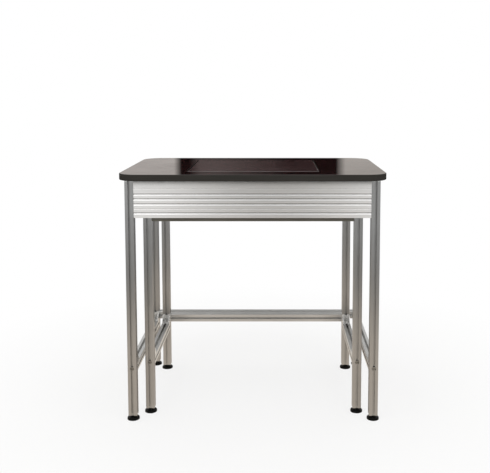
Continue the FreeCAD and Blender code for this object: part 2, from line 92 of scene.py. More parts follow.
LAMPS = (                           # name, place, width, height, watts
    ("softbox_overhead", (0.0, -0.3, 3.1), 3.0, 2.0, 16.0),
    ("softbox_left", (-1.35, -2.0, 2.6), 1.8, 1.4, 6.6),
    ("softbox_right", (1.45, -2.0, 2.6), 1.8, 1.4, 6.6),
)

# ---- foot studs, in metres -------------------------------------------------------------------
STUD_RADIUS = 4.0 * MM
STUD_TIP_CHAMFER = 1.0 * MM
BALL_RADIUS = 5.0 * MM
BALL_STEPS = 8                      # steps of the ball's outline, from its underside to the neck
BALL_LOWEST_TILT = -80              # degrees
NECK_RADIUS = 3.0 * MM
HEXAGON_HEIGHTS = (10.6 * MM, 14.1 * MM)    # over the ball's underside
HEXAGON_BEVEL = 0.45 * MM
HEXAGON_END_SHARE = 0.98            # radius of its bevelled ends, as a share of half its flats
THREAD_PITCH = 1.25 * MM
THREAD_ROOT_DEPTH = 0.68 * MM
THREAD_SHOWN = 23.0 * MM            # cut thread, from the hexagon up
THREAD_OUTLINE = (0.0, 0.45, 1.0, 1.0, 0.45, 0.0)   # share of its depth, along one pitch
THREAD_RINGS = len(THREAD_OUTLINE)  # rings of points along one pitch
STUD_COLUMNS = 36
MERGE_DISTANCE = 0.002 * MM
SHARP_ANGLE = math.radians(35)

# ---- socket types ----------------------------------------------------------------------------
VECTOR = "NodeSocketVector"
FLOAT = "NodeSocketFloat"


# ---- helpers ---------------------------------------------------------------------------------
def add_object(name, data):
    made = bpy.data.objects.new(name, data)
    bpy.context.scene.collection.objects.link(made)
    return made


# ---- node helpers ----------------------------------------------------------------------------
def place(tree, kind, inputs=None, **settings):
    """Add a node. An input is a plain value or the socket that feeds it."""
    made = tree.nodes.new(kind)
    for key, value in settings.items():
        setattr(made, key, value)
    for key, value in (inputs or {}).items():
        if isinstance(value, bpy.types.NodeSocket):
            tree.links.new(value, made.inputs[key])
        else:
            made.inputs[key].default_value = value
    return made


def maths(tree, operation, first, second):
    """Sum, difference or product, held between 0 and 1."""
    return place(tree, "ShaderNodeMath", {0: first, 1: second}, operation=operation,
                 use_clamp=True).outputs[0]


def mixed(tree, share, first, second):
    """Colour between two, by a mask."""
    return place(tree, "ShaderNodeMix", {0: share, 6: first, 7: second},
                 data_type="RGBA").outputs[2]


def laid_over(tree, under, mask, strength, over):
    """Colour with another laid over it where a mask is, up to a strength."""
    return mixed(tree, maths(tree, "MULTIPLY", mask, strength), under, over)


def ranged(tree, value, low, high, to_low=0.0, to_high=1.0):
    """Value from one range laid over another, and held at its ends."""
    return place(tree, "ShaderNodeMapRange",
                 {"Value": value, "From Min": low, "From Max": high,
                  "To Min": to_low, "To Max": to_high}).outputs[0]


def noise(tree, vector, scale, detail=2.0, roughness=0.5, distortion=0.0):
    return place(tree, "ShaderNodeTexNoise",
                 {"Vector": vector, "Scale": scale, "Detail": detail, "Roughness": roughness,
                  "Distortion": distortion}).outputs[0]


def empty_tree(owner):
    """Node tree of a material or a sky, with nothing in it yet."""
    owner.use_nodes = True
    owner.node_tree.nodes.clear()
    return owner.node_tree


def blended(tree, share, first, second):
    """Shader between two, by a mask."""
    return place(tree, "ShaderNodeMixShader",
                 {0: share, 1: first.outputs[0], 2: second.outputs[0]})


def new_group(name, inputs, outputs):
    """Node group. Its inputs come as (label, kind, value) and its outputs as (label, kind)."""
    group = bpy.data.node_groups.new(name, "ShaderNodeTree")
    for label, kind, value in inputs:
        socket = group.interface.new_socket(name=label, in_out="INPUT", socket_type=kind)
        socket.default_value = value
    for label, kind in outputs:
        group.interface.new_socket(name=label, in_out="OUTPUT", socket_type=kind)
    start = group.nodes.new("NodeGroupInput")
    end = group.nodes.new("NodeGroupOutput")
    return group, start.outputs, end.inputs


def use_group(tree, group, inputs):
    return place(tree, "ShaderNodeGroup", inputs, node_tree=group).outputs[0]


# ---- effects that several finishes share -----------------------------------------------------
SMALL_MARKS_FINER = 7.0             # how many times finer the small handling marks are
EDGE_WEAR_AND_HIGHLIGHT_TURN = (0.995, 0.86)      # cosines of the edge's turn where the lighter edge, partly wear and partly painted highlight, starts and is full


def make_drawn_lines():
    """Fine lines that an extrusion or a saw leaves, long along one axis."""
    group, given, out = new_group(
        "drawn_lines", [("Vector", VECTOR, (0, 0, 0)), ("Stretch", VECTOR, (1, 1, 1))],
        [("Lines", FLOAT)])
    stretched = place(group, "ShaderNodeVectorMath", {0: given["Vector"], 1: given["Stretch"]},
                      operation="MULTIPLY").outputs[0]
    fine = noise(group, stretched, 1.0, detail=3.0, roughness=0.6)
    group.links.new(ranged(group, fine, 0.34, 0.66), out["Lines"])
    return group


def make_handling_marks():
    """Soft patches where hands and cloths have left the surface duller."""
    group, given, out = new_group(
        "handling_marks", [("Vector", VECTOR, (0, 0, 0)), ("Scale", FLOAT, 8.0)],
        [("Marks", FLOAT)])
    broad = noise(group, given["Vector"], given["Scale"], detail=4.0, roughness=0.6,
                  distortion=0.6)
    small_scale = place(group, "ShaderNodeMath", {0: given["Scale"], 1: SMALL_MARKS_FINER},
                        operation="MULTIPLY").outputs[0]
    small = noise(group, given["Vector"], small_scale, detail=3.0, roughness=0.65)
    both = maths(group, "MULTIPLY", ranged(group, broad, 0.38, 0.68),
                 ranged(group, small, 0.30, 0.62, to_low=0.35))
    group.links.new(both, out["Marks"])
    return group


def make_worn_and_highlit_edges():
    """Mask of the outer edges, made lighter by the finishes: partly wear where a coating is
    thinner, partly a painted highlight.
    """
    group, given, out = new_group(
        "worn_and_highlit_edges", [("Vector", VECTOR, (0, 0, 0)), ("Radius", FLOAT, 0.0006)],
        [("Edge", FLOAT)])
    rounded = place(group, "ShaderNodeBevel", {"Radius": given["Radius"]}, samples=3).outputs[0]
    flat = place(group, "ShaderNodeNewGeometry").outputs["Normal"]
    alike = place(group, "ShaderNodeVectorMath", {0: rounded, 1: flat},
                  operation="DOT_PRODUCT").outputs["Value"]
    edge = ranged(group, alike, *EDGE_WEAR_AND_HIGHLIGHT_TURN)
    patches = noise(group, given["Vector"], 60.0, detail=3.0, roughness=0.6)
    patchy = ranged(group, patches, 0.3, 0.6, to_low=0.35)
    group.links.new(maths(group, "MULTIPLY", edge, patchy), out["Edge"])
    return group


def make_eased_edges():
    """Normal of a surface whose sharp edges are broken by a small radius."""
    group, given, out = new_group(
        "eased_edges", [("Radius", FLOAT, 0.0006)], [("Normal", VECTOR)])
    rounded = place(group, "ShaderNodeBevel", {"Radius": given["Radius"]}, samples=4).outputs[0]
    group.links.new(rounded, out["Normal"])
    return group


def make_hollow_light_and_shade():
    """Mask of grooves, inner corners and the band under an overhang, closed in within a reach, for
    painted shade in the aprons and painted light in the profiles' slots.
    """
    group, given, out = new_group(
        "hollow_light_and_shade", [("Vector", VECTOR, (0, 0, 0)), ("Reach", FLOAT, 0.006)],
        [("Closed_in", FLOAT)])
    open_share = place(group, "ShaderNodeAmbientOcclusion", {"Distance": given["Reach"]},
                       samples=8).outputs["AO"]
    patches = noise(group, given["Vector"], 40.0, detail=3.0, roughness=0.6)
    patchy = ranged(group, patches, 0.3, 0.65, to_low=0.85)
    closed = ranged(group, open_share, 0.50, 0.90, to_low=1.0, to_high=0.0)
    group.links.new(maths(group, "MULTIPLY", closed, patchy), out["Closed_in"])
    return group


def make_settled_dust():
    """Mask of faces that look up, broken into patches."""
    group, given, out = new_group(
        "settled_dust", [("Vector", VECTOR, (0, 0, 0)), ("Normal", VECTOR, (0, 0, 1))],
        [("Dust", FLOAT)])
    up = place(group, "ShaderNodeSeparateXYZ", {0: given["Normal"]}).outputs["Z"]
    patches = noise(group, given["Vector"], 34.0, detail=4.0, roughness=0.65)
    patchy = ranged(group, patches, 0.34, 0.7, to_low=0.25)
    looking_up = ranged(group, up, 0.35, 0.95)
    group.links.new(maths(group, "MULTIPLY", looking_up, patchy), out["Dust"])
    return group


def make_moulded_grain():
    """Fine even pebbling of mouldings, castings and rubber."""
    group, given, out = new_group(
        "moulded_grain", [("Vector", VECTOR, (0, 0, 0)), ("Scale", FLOAT, 1500.0)],
        [("Grain", FLOAT)])
    cells = place(group, "ShaderNodeTexVoronoi",
                  {"Vector": given["Vector"], "Scale": given["Scale"]},
                  feature="SMOOTH_F1").outputs["Distance"]
    uneven = noise(group, given["Vector"], given["Scale"])
    group.links.new(maths(group, "MULTIPLY", cells, uneven), out["Grain"])
    return group


DRAWN_LINES = make_drawn_lines()
HANDLING_MARKS = make_handling_marks()
WORN_AND_HIGHLIT_EDGES = make_worn_and_highlit_edges()
EASED_EDGES = make_eased_edges()
HOLLOW_LIGHT_AND_SHADE = make_hollow_light_and_shade()
SETTLED_DUST = make_settled_dust()
MOULDED_GRAIN = make_moulded_grain()


# ---- finishes --------------------------------------------------------------------------------
LAMINATE_DARK = (0.0125, 0.0030, 0.0030, 1.0)
LAMINATE_SPECKLE = (0.0240, 0.0082, 0.0080, 1.0)
LAMINATE_CLOUD = (0.019, 0.0075, 0.0075, 1.0)
LAMINATE_SIDE_DARK = (0.0330, 0.0305, 0.0270, 1.0)
LAMINATE_SIDE_PALE = (0.0500, 0.0465, 0.0415, 1.0)
# Lighter edge colour: partly wear, partly a painted highlight.
LAMINATE_EDGE_WEAR_AND_HIGHLIGHT = (0.060, 0.056, 0.050, 1.0)
STONE_DARK = (0.0200, 0.0070, 0.0072, 1.0)
STONE_CRYSTAL = (0.0860, 0.0420, 0.0420, 1.0)
STONE_FLECK = (0.240, 0.180, 0.175, 1.0)
STONE_CLOUD = (0.0300, 0.0140, 0.0140, 1.0)
STONE_SAWN_DARK = (0.050, 0.045, 0.044, 1.0)
STONE_SAWN_PALE = (0.095, 0.088, 0.086, 1.0)
# Pale chamfer colour: partly the ground finish, partly a painted highlight.
STONE_GROUND_AND_HIGHLIGHT = (0.27, 0.25, 0.245, 1.0)
STONE_IN_SAWN = 0.45                # how much of the stone's own colour its sawn faces show
STONE_SAWN_DULL = 0.72
DUST_COLOUR = (0.16, 0.15, 0.135, 1.0)
STAIN_LEAVES = (0.62, 0.60, 0.54)   # share of red, green and blue that a stained plating keeps
CAST_GREY = (0.74, 0.735, 0.72, 1.0)
CAST_MARKED = (0.62, 0.615, 0.60, 1.0)
# Lighter edge colour: partly wear, partly a painted highlight.
CAST_EDGE_WEAR_AND_HIGHLIGHT = (0.86, 0.86, 0.85, 1.0)
CAST_DUSTY = (0.76, 0.74, 0.71, 1.0)


def new_finish(name):
    finish = bpy.data.materials.new(name)
    tree = empty_tree(finish)
    coords = place(tree, "ShaderNodeTexCoord").outputs
    return finish, tree, coords["Object"], coords["Normal"]


def surface(tree, inputs):
    shader = place(tree, "ShaderNodeBsdfPrincipled", inputs)
    place(tree, "ShaderNodeOutputMaterial", {"Surface": shader.outputs[0]})


def bump(tree, height, strength, distance, eased):
    """Normal with a fine relief, over edges that are eased by a radius."""
    under = use_group(tree, EASED_EDGES, {"Radius": eased})
    return place(tree, "ShaderNodeBump",
                 {"Height": height, "Strength": strength, "Distance": distance,
                  "Normal": under}).outputs[0]


def shade(colour, factor):
    return tuple(channel * factor for channel in colour) + (1.0,)


def aluminium(name, colour, axis, dull, edge_wear_and_highlight, painted_hollow_tone, reach, ease):
    """Anodised extrusion. Its drawing lines run along one axis and spread light across it. Its
    hollows, within a reach, take its colour times a tone: painted shade where the tone is below 1,
    painted light where it is above 1. Its edges are eased by a radius and made lighter, partly as
    wear and partly as a painted highlight."""
    finish, tree, coords, normal = new_finish(name)
    lines = use_group(tree, DRAWN_LINES, {"Vector": coords, "Stretch": DRAWN_ALONG[axis]})
    across = place(tree, "ShaderNodeTangent", direction_type="RADIAL", axis=axis).outputs[0]
    marks = use_group(tree, HANDLING_MARKS, {"Vector": coords, "Scale": 6.0})
    edge = use_group(tree, WORN_AND_HIGHLIT_EDGES, {"Vector": coords, "Radius": 0.9 * MM})
    dust = use_group(tree, SETTLED_DUST, {"Vector": coords, "Normal": normal})
    hollow = use_group(tree, HOLLOW_LIGHT_AND_SHADE, {"Vector": coords, "Reach": reach})
    metal = mixed(tree, lines, shade(colour, 0.96), shade(colour, 1.03))
    metal = laid_over(tree, metal, marks, 0.30, shade(colour, 0.90))
    # Lighter edges: partly wear, partly a painted highlight.
    metal = laid_over(tree, metal, edge, 0.8, shade(edge_wear_and_highlight, 1.0))
    metal = laid_over(tree, metal, dust, 0.22, shade(colour, 1.15))
    # Hollows take the colour times the hollow tone: painted shade in the aprons, painted light in
    # the profiles' slots.
    metal = laid_over(tree, metal, hollow, 0.95, shade(colour, painted_hollow_tone))
    unevenness = maths(tree, "ADD", maths(tree, "MULTIPLY", lines, 0.5), marks)
    rough = ranged(tree, unevenness, 0.0, 1.5, to_low=dull - 0.05, to_high=dull + 0.10)
    surface(tree, {"Base Color": metal, "Metallic": 1.0, "Roughness": rough,
                   "Anisotropic": 0.75, "Tangent": across,
                   "Normal": bump(tree, lines, strength=0.10, distance=0.04 * MM, eased=ease)})
    return finish


def worktop_laminate():
    """Dark solid laminate: polished on top, machined and satin at its edges."""
    finish, tree, coords, normal = new_finish("worktop_laminate")
    up = place(tree, "ShaderNodeSeparateXYZ", {0: normal}).outputs["Z"]
    polished = ranged(tree, up, 0.72, 0.96)
    speckle = noise(tree, coords, 900.0, roughness=0.6)
    cloud = noise(tree, coords, 14.0, detail=3.0, roughness=0.55)
    marks = use_group(tree, HANDLING_MARKS, {"Vector": coords, "Scale": 5.0})
    layers = use_group(tree, DRAWN_LINES, {"Vector": coords, "Stretch": (9.0, 9.0, 2600.0)})
    edge = use_group(tree, WORN_AND_HIGHLIT_EDGES, {"Vector": coords, "Radius": 1.2 * MM})
    top = mixed(tree, ranged(tree, speckle, 0.40, 0.66), LAMINATE_DARK, LAMINATE_SPECKLE)
    top = mixed(tree, ranged(tree, cloud, 0.35, 0.70, to_high=0.5), top, LAMINATE_CLOUD)
    side = mixed(tree, layers, LAMINATE_SIDE_DARK, LAMINATE_SIDE_PALE)
    # Lighter edges: partly wear, partly a painted highlight.
    side = laid_over(tree, side, edge, 0.5, LAMINATE_EDGE_WEAR_AND_HIGHLIGHT)
    colour = mixed(tree, polished, side, top)
    rough = ranged(tree, layers, 0.0, 1.0, to_low=0.42, to_high=0.56)
    clean = ranged(tree, marks, 0.0, 1.0, to_low=1.0, to_high=0.86)
    polish = maths(tree, "MULTIPLY", polished, clean)
    layers_shown = ranged(tree, polished, 0.0, 1.0, to_low=0.4, to_high=0.0)
    waves = maths(tree, "ADD", maths(tree, "MULTIPLY", cloud, 0.5),
                  maths(tree, "MULTIPLY", layers, layers_shown))
    surface(tree, {"Base Color": colour, "Roughness": rough, "Specular IOR Level": 0.0,
                   "Coat Weight": polish, "Coat Roughness": 0.08, "Coat IOR": 1.45,
                   "Normal": bump(tree, waves, strength=0.08, distance=0.08 * MM,
                                  eased=1.0 * MM)})
    return finish


def slab_granite():
    """Dark fine-grained stone: polished top and chamfer, sawn sides and underside. The chamfer's
    pale colour is partly its ground finish and partly a painted highlight.
    """
    finish, tree, coords, normal = new_finish("slab_granite")
    up = place(tree, "ShaderNodeSeparateXYZ", {0: normal}).outputs["Z"]
    polished = ranged(tree, up, 0.80, 0.95)
    ground_and_highlit_chamfer = maths(tree, "SUBTRACT", ranged(tree, up, 0.40, 0.60), polished)
    crystals = place(tree, "ShaderNodeTexVoronoi", {"Vector": coords, "Scale": 420.0})
    crystal_shade = place(tree, "ShaderNodeSeparateColor",
                          {0: crystals.outputs["Color"]}).outputs[0]
    flecks = place(tree, "ShaderNodeTexVoronoi", {"Vector": coords, "Scale": 900.0})
    fleck_shade = place(tree, "ShaderNodeSeparateColor", {0: flecks.outputs["Color"]}).outputs[1]
    cloud = noise(tree, coords, 26.0, detail=4.0, roughness=0.6)
    saw = use_group(tree, DRAWN_LINES, {"Vector": coords, "Stretch": (60.0, 60.0, 900.0)})
    marks = use_group(tree, HANDLING_MARKS, {"Vector": coords, "Scale": 6.0})
    stone = mixed(tree, crystal_shade, STONE_DARK, STONE_CRYSTAL)
    stone = mixed(tree, ranged(tree, fleck_shade, 0.90, 0.93, to_high=0.75), stone, STONE_FLECK)
    stone = mixed(tree, ranged(tree, cloud, 0.35, 0.70, to_high=0.6), stone, STONE_CLOUD)
    sawn = mixed(tree, saw, STONE_SAWN_DARK, STONE_SAWN_PALE)
    sawn = mixed(tree, STONE_IN_SAWN, sawn, stone)
    # Pale chamfer: partly the ground finish, partly a painted highlight.
    sawn = mixed(tree, ground_and_highlit_chamfer, sawn, STONE_GROUND_AND_HIGHLIGHT)
    rough_top = ranged(tree, marks, 0.0, 1.0, to_low=0.10, to_high=0.16)
    rough = place(tree, "ShaderNodeMix", {0: polished, 2: STONE_SAWN_DULL, 3: rough_top},
                  data_type="FLOAT").outputs[0]
    unpolished = ranged(tree, polished, 0.0, 1.0, to_low=1.0, to_high=0.0)
    height = maths(tree, "MULTIPLY", saw, unpolished)
    surface(tree, {"Base Color": mixed(tree, polished, sawn, stone), "Roughness": rough,
                   "Normal": bump(tree, height, strength=0.35, distance=0.15 * MM,
                                  eased=0.6 * MM)})
    return finish


def moulding(name, colour, dull, grain_scale, dusty, gloss):
    """Black plastic or rubber, pebbled, with dust on what looks up."""
    finish, tree, coords, normal = new_finish(name)
    grain = use_group(tree, MOULDED_GRAIN, {"Vector": coords, "Scale": grain_scale})
    marks = use_group(tree, HANDLING_MARKS, {"Vector": coords, "Scale": 30.0})
    edge = use_group(tree, WORN_AND_HIGHLIT_EDGES, {"Vector": coords, "Radius": 0.5 * MM})
    dust = use_group(tree, SETTLED_DUST, {"Vector": coords, "Normal": normal})
    black = mixed(tree, ranged(tree, grain, 0.0, 0.4), shade(colour, 0.75), shade(colour, 1.25))
    # Edges three times lighter: partly wear, partly a painted highlight.
    black = laid_over(tree, black, edge, 0.5, shade(colour, 3.0))
    black = laid_over(tree, black, dust, dusty, DUST_COLOUR)
    unevenness = maths(tree, "ADD", maths(tree, "MULTIPLY", dust, dusty), marks)
    rough = ranged(tree, unevenness, 0.0, 1.2, to_low=dull, to_high=min(dull + 0.25, 0.95))
    surface(tree, {"Base Color": black, "Roughness": rough, "Specular IOR Level": gloss,
                   "Normal": bump(tree, grain, strength=0.35, distance=0.08 * MM,
                                  eased=0.5 * MM)})
    return finish


def plated_steel(name, colour, dull):
    """Zinc-plated steel, a little mottled, with stained marks."""
    finish, tree, coords, _ = new_finish(name)
    mottle = noise(tree, coords, 420.0, detail=4.0, roughness=0.65)
    marks = use_group(tree, HANDLING_MARKS, {"Vector": coords, "Scale": 45.0})
    edge = use_group(tree, WORN_AND_HIGHLIT_EDGES, {"Vector": coords, "Radius": 0.35 * MM})
    metal = mixed(tree, ranged(tree, mottle, 0.34, 0.68), shade(colour, 0.80),
                  shade(colour, 1.08))
    stained = tuple(channel * left for channel, left in zip(colour, STAIN_LEAVES)) + (1.0,)
    metal = laid_over(tree, metal, marks, 0.4, stained)
    # Lighter edges: partly wear, partly a painted highlight.
    metal = laid_over(tree, metal, edge, 0.8, shade(colour, 1.35))
    rough = ranged(tree, mottle, 0.3, 0.7, to_low=dull - 0.06, to_high=dull + 0.10)
    surface(tree, {"Base Color": metal, "Metallic": 1.0, "Roughness": rough,
                   "Normal": bump(tree, mottle, strength=0.12, distance=0.05 * MM,
                                  eased=0.3 * MM)})
    return finish


def tumbled_casting():
    """Die-cast aluminium gussets, tumbled smooth."""
    finish, tree, coords, normal = new_finish("tumbled_casting")
    grain = use_group(tree, MOULDED_GRAIN, {"Vector": coords, "Scale": 900.0})
    marks = use_group(tree, HANDLING_MARKS, {"Vector": coords, "Scale": 40.0})
    edge = use_group(tree, WORN_AND_HIGHLIT_EDGES, {"Vector": coords, "Radius": 0.6 * MM})
    dust = use_group(tree, SETTLED_DUST, {"Vector": coords, "Normal": normal})
    cast = mixed(tree, marks, CAST_GREY, CAST_MARKED)
    # Lighter edges: partly wear, partly a painted highlight.
    cast = laid_over(tree, cast, edge, 0.8, CAST_EDGE_WEAR_AND_HIGHLIGHT)
    cast = laid_over(tree, cast, dust, 0.2, CAST_DUSTY)
    rough = ranged(tree, marks, 0.0, 1.0, to_low=0.40, to_high=0.55)
    surface(tree, {"Base Color": cast, "Metallic": 1.0, "Roughness": rough,
                   "Normal": bump(tree, grain, strength=0.5, distance=0.12 * MM,
                                  eased=0.6 * MM)})
    return finish


PROFILE_GREY = (0.374, 0.369, 0.359)
# The stretchers' greys are lighter copies of the profile grey: painted light on parts that stand in
# shade under the table.
STRETCHER_PAINTED_LIGHT = (0.460, 0.455, 0.440)
BACK_STRETCHER_PAINTED_LIGHT = (0.540, 0.535, 0.520)
# The edge colours here are partly wear and partly a painted highlight.
PROFILE_EDGE_WEAR_AND_HIGHLIGHT = (0.54, 0.53, 0.51)
# The inner rails' grey is a darker copy of the profile grey: painted shade of the shadow under the
# apron.
RAIL_PAINTED_SHADE = (0.195, 0.190, 0.168)
RAIL_EDGE_WEAR_AND_HIGHLIGHT = (0.26, 0.26, 0.24)
APRON_SILVER = (0.875, 0.868, 0.858)
APRON_EDGE_WEAR_AND_HIGHLIGHT = (0.885, 0.885, 0.88)
LINE_FINE, LINE_LONG = 1500.0, 5.0
DRAWN_ALONG = {"X": (LINE_LONG, LINE_FINE, LINE_FINE), "Y": (LINE_FINE, LINE_LONG, LINE_FINE),
               "Z": (LINE_FINE, LINE_FINE, LINE_LONG)}

# Profiles: a hollow tone above 1 paints light into their slots and inner corners.
PROFILE_LOOK = dict(dull=0.33, edge_wear_and_highlight=PROFILE_EDGE_WEAR_AND_HIGHLIGHT, painted_hollow_tone=2.5, reach=5.0 * MM,
                    ease=0.9 * MM)
RAIL_LOOK = dict(dull=0.50, edge_wear_and_highlight=RAIL_EDGE_WEAR_AND_HIGHLIGHT, painted_hollow_tone=1.0, reach=5.0 * MM, ease=0.9 * MM)
# Aprons: a hollow tone below 1 over a long reach paints shade into the grooves and a painted shadow
# along the top, under the worktop's overhang.
APRON_LOOK = dict(dull=0.36, edge_wear_and_highlight=APRON_EDGE_WEAR_AND_HIGHLIGHT, painted_hollow_tone=0.12, reach=27.0 * MM,
                  ease=0.8 * MM)

UPRIGHT_PROFILE = aluminium("profile_upright", PROFILE_GREY, "Z", **PROFILE_LOOK)
CROSS_PROFILE = aluminium("profile_across_painted_light", BACK_STRETCHER_PAINTED_LIGHT, "X", **PROFILE_LOOK)
SIDE_PROFILE = aluminium("profile_front_to_back_painted_light", STRETCHER_PAINTED_LIGHT, "Y", **PROFILE_LOOK)
CROSS_RAIL = aluminium("rail_across_painted_shade", RAIL_PAINTED_SHADE, "X", **RAIL_LOOK)
SIDE_RAIL = aluminium("rail_front_to_back_painted_shade", RAIL_PAINTED_SHADE, "Y", **RAIL_LOOK)
CROSS_APRON = aluminium("apron_across", APRON_SILVER, "X", **APRON_LOOK)
SIDE_APRON = aluminium("apron_front_to_back", APRON_SILVER, "Y", **APRON_LOOK)
LAMINATE = worktop_laminate()
GRANITE = slab_granite()
RUBBER = moulding("isolator_rubber", (0.020, 0.020, 0.020), dull=0.62, grain_scale=1600.0,
                  dusty=0.35, gloss=0.4)
FOOT_PLASTIC = moulding("foot_plastic", (0.0018, 0.0020, 0.0015), dull=0.32, grain_scale=1300.0,
                        dusty=0.02, gloss=0.09)
STUD_STEEL = plated_steel("stud_steel", (0.50, 0.50, 0.485), dull=0.30)
FASTENER_STEEL = plated_steel("fastener_steel", (0.25, 0.24, 0.22), dull=0.34)
BRACKET_SCREW_STEEL = plated_steel("bracket_screw_steel", (0.60, 0.595, 0.58), dull=0.32)
CASTING = tumbled_casting()

FINISH_OF_NODE = (
    ("bracket_screws", BRACKET_SCREW_STEEL), ("worktop_brackets", CASTING),
    ("worktop", LAMINATE), ("slab_isolators", RUBBER), ("slab_bearer", SIDE_PROFILE),
    ("slab", GRANITE), ("foot_pad", FOOT_PLASTIC), ("foot_stud", STUD_STEEL),
    ("screws", FASTENER_STEEL), ("nuts", FASTENER_STEEL), ("anchors", FASTENER_STEEL),
    ("brackets", CASTING),
    ("apron_front", CROSS_APRON), ("apron_back", CROSS_APRON), ("apron", SIDE_APRON),
    ("leg", UPRIGHT_PROFILE),
    ("stretcher_back", CROSS_PROFILE), ("stretcher", SIDE_PROFILE),
    ("rail_front", CROSS_RAIL), ("rail_back", CROSS_RAIL), ("rail", SIDE_RAIL),
)


def finish_cad_nodes():
    """Give each node the finish of the first word in the list that its name holds."""
    for name, node in frame["nodes"].items():
        finish = next(material for word, material in FINISH_OF_NODE if word in name)
        node.data.materials.clear()
        node.data.materials.append(finish)


# ---- threaded foot studs ---------------------------------------------------------------------
def hexagon_radius(angle, flats):
    """Distance from the axis to a hexagon's side at an angle."""
    turn = math.radians(60)
    return flats / 2 / math.cos((angle % turn) - turn / 2)


def level_ring(height, radius):
    return [(height, radius)] * STUD_COLUMNS


def ball_rings(low):
    """Ball end, from its underside to where the neck leaves it."""
    neck_tilt = math.degrees(math.acos(NECK_RADIUS / BALL_RADIUS))
    rings = []
    for step in range(BALL_STEPS + 1):
        tilt = math.radians(BALL_LOWEST_TILT + step * (neck_tilt - BALL_LOWEST_TILT) / BALL_STEPS)
        rings.append(level_ring(low + BALL_RADIUS + BALL_RADIUS * math.sin(tilt),
                                BALL_RADIUS * math.cos(tilt)))
    return rings


def thread_rings(low, high, root):
    """Cut thread: each ring climbs by one pitch in a turn, and is held between two heights."""
    rings = []
    turns = int(THREAD_SHOWN / THREAD_PITCH)
    for ring in range(-THREAD_RINGS, turns * THREAD_RINGS + 1):
        points = []
        for column in range(STUD_COLUMNS):
            height = low + THREAD_PITCH * (ring / THREAD_RINGS + column / STUD_COLUMNS)
            radius = root
            if low < height < high:
                radius = root + THREAD_ROOT_DEPTH * THREAD_OUTLINE[ring % THREAD_RINGS]
            points.append((min(max(height, low), high), radius))
        rings.append(points)
    return rings


def stud_rings(low, high, flats, angles):
    """Rings of (height, radius) at each column, from the ball's underside to the stud's tip."""
    hex_low, hex_high = (low + height for height in HEXAGON_HEIGHTS)
    thread_high = hex_high + THREAD_SHOWN
    root = STUD_RADIUS - THREAD_ROOT_DEPTH
    rings = ball_rings(low)
    rings.append(level_ring(hex_low, NECK_RADIUS))
    end_radius = flats / 2 * HEXAGON_END_SHARE
    for height, limit in ((hex_low, end_radius), (hex_low + HEXAGON_BEVEL, math.inf),
                          (hex_high - HEXAGON_BEVEL, math.inf), (hex_high, end_radius)):
        rings.append([(height, min(hexagon_radius(angle, flats), limit)) for angle in angles])
    rings.append(level_ring(hex_high, root))
    rings += thread_rings(hex_high, thread_high, root)
    rings.append(level_ring(thread_high, STUD_RADIUS))
    rings.append(level_ring(high - STUD_TIP_CHAMFER, STUD_RADIUS))
    rings.append(level_ring(high, STUD_RADIUS - STUD_TIP_CHAMFER))
    return rings


def threaded_stud(node_name):
    """M8 stud with a cut thread, where the plain solid stands."""
    low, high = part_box(node_name)
    centre = (low + high) / 2
    angles = [2 * math.pi * column / STUD_COLUMNS for column in range(STUD_COLUMNS)]
    flats = min(high.x - low.x, high.y - low.y)
    mesh = bmesh.new()
    rows = []
    for ring in stud_rings(low.z, high.z, flats, angles):
        rows.append([mesh.verts.new((centre.x + r * math.cos(a), centre.y + r * math.sin(a), z))
                     for (z, r), a in zip(ring, angles)])
    for below, above in zip(rows, rows[1:]):
        for i in range(STUD_COLUMNS):
            j = (i + 1) % STUD_COLUMNS
            mesh.faces.new((below[i], below[j], above[j], above[i]))
    mesh.faces.new(rows[0][::-1])
    mesh.faces.new(rows[-1])
    bmesh.ops.remove_doubles(mesh, verts=mesh.verts, dist=MERGE_DISTANCE)
    bmesh.ops.recalc_face_normals(mesh, faces=mesh.faces)
    data = bpy.data.meshes.new(node_name.replace("foot_stud", "threaded_stud"))
    mesh.to_mesh(data)
    mesh.free()
    data.shade_smooth()
    data.set_sharp_from_angle(angle=SHARP_ANGLE)
    data.materials.append(STUD_STEEL)
    return add_object(data.name, data)


def make_threaded_studs():
    for body, nodes in frame["record"]["behaviour"]["bodies"].items():
        for node_name in nodes:
            if "foot_stud" in node_name:
                stud = threaded_stud(node_name)
                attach(stud, body)
                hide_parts(node_name)


# ---- stage -----------------------------------------------------------------------------------
def panel(name, centre, across, upward):
    """Flat sheet about a point, with half its width and half its height as vectors."""
    corners = [centre + across * a + upward * b for a, b in ((-1, -1), (1, -1), (1, 1), (-1, 1))]
    data = bpy.data.meshes.new(name)
    data.from_pydata([tuple(corner) for corner in corners], [], [(0, 1, 2, 3)])
    made = add_object(name, data)
    return made


def seen_directly(tree):
    """1 for the eye and for what shines or lets light through, 0 for light that is scattered."""
    path = place(tree, "ShaderNodeLightPath").outputs
    return maths(tree, "ADD", maths(tree, "ADD", path["Is Camera Ray"], path["Is Glossy Ray"]),
                 path["Is Transmission Ray"])


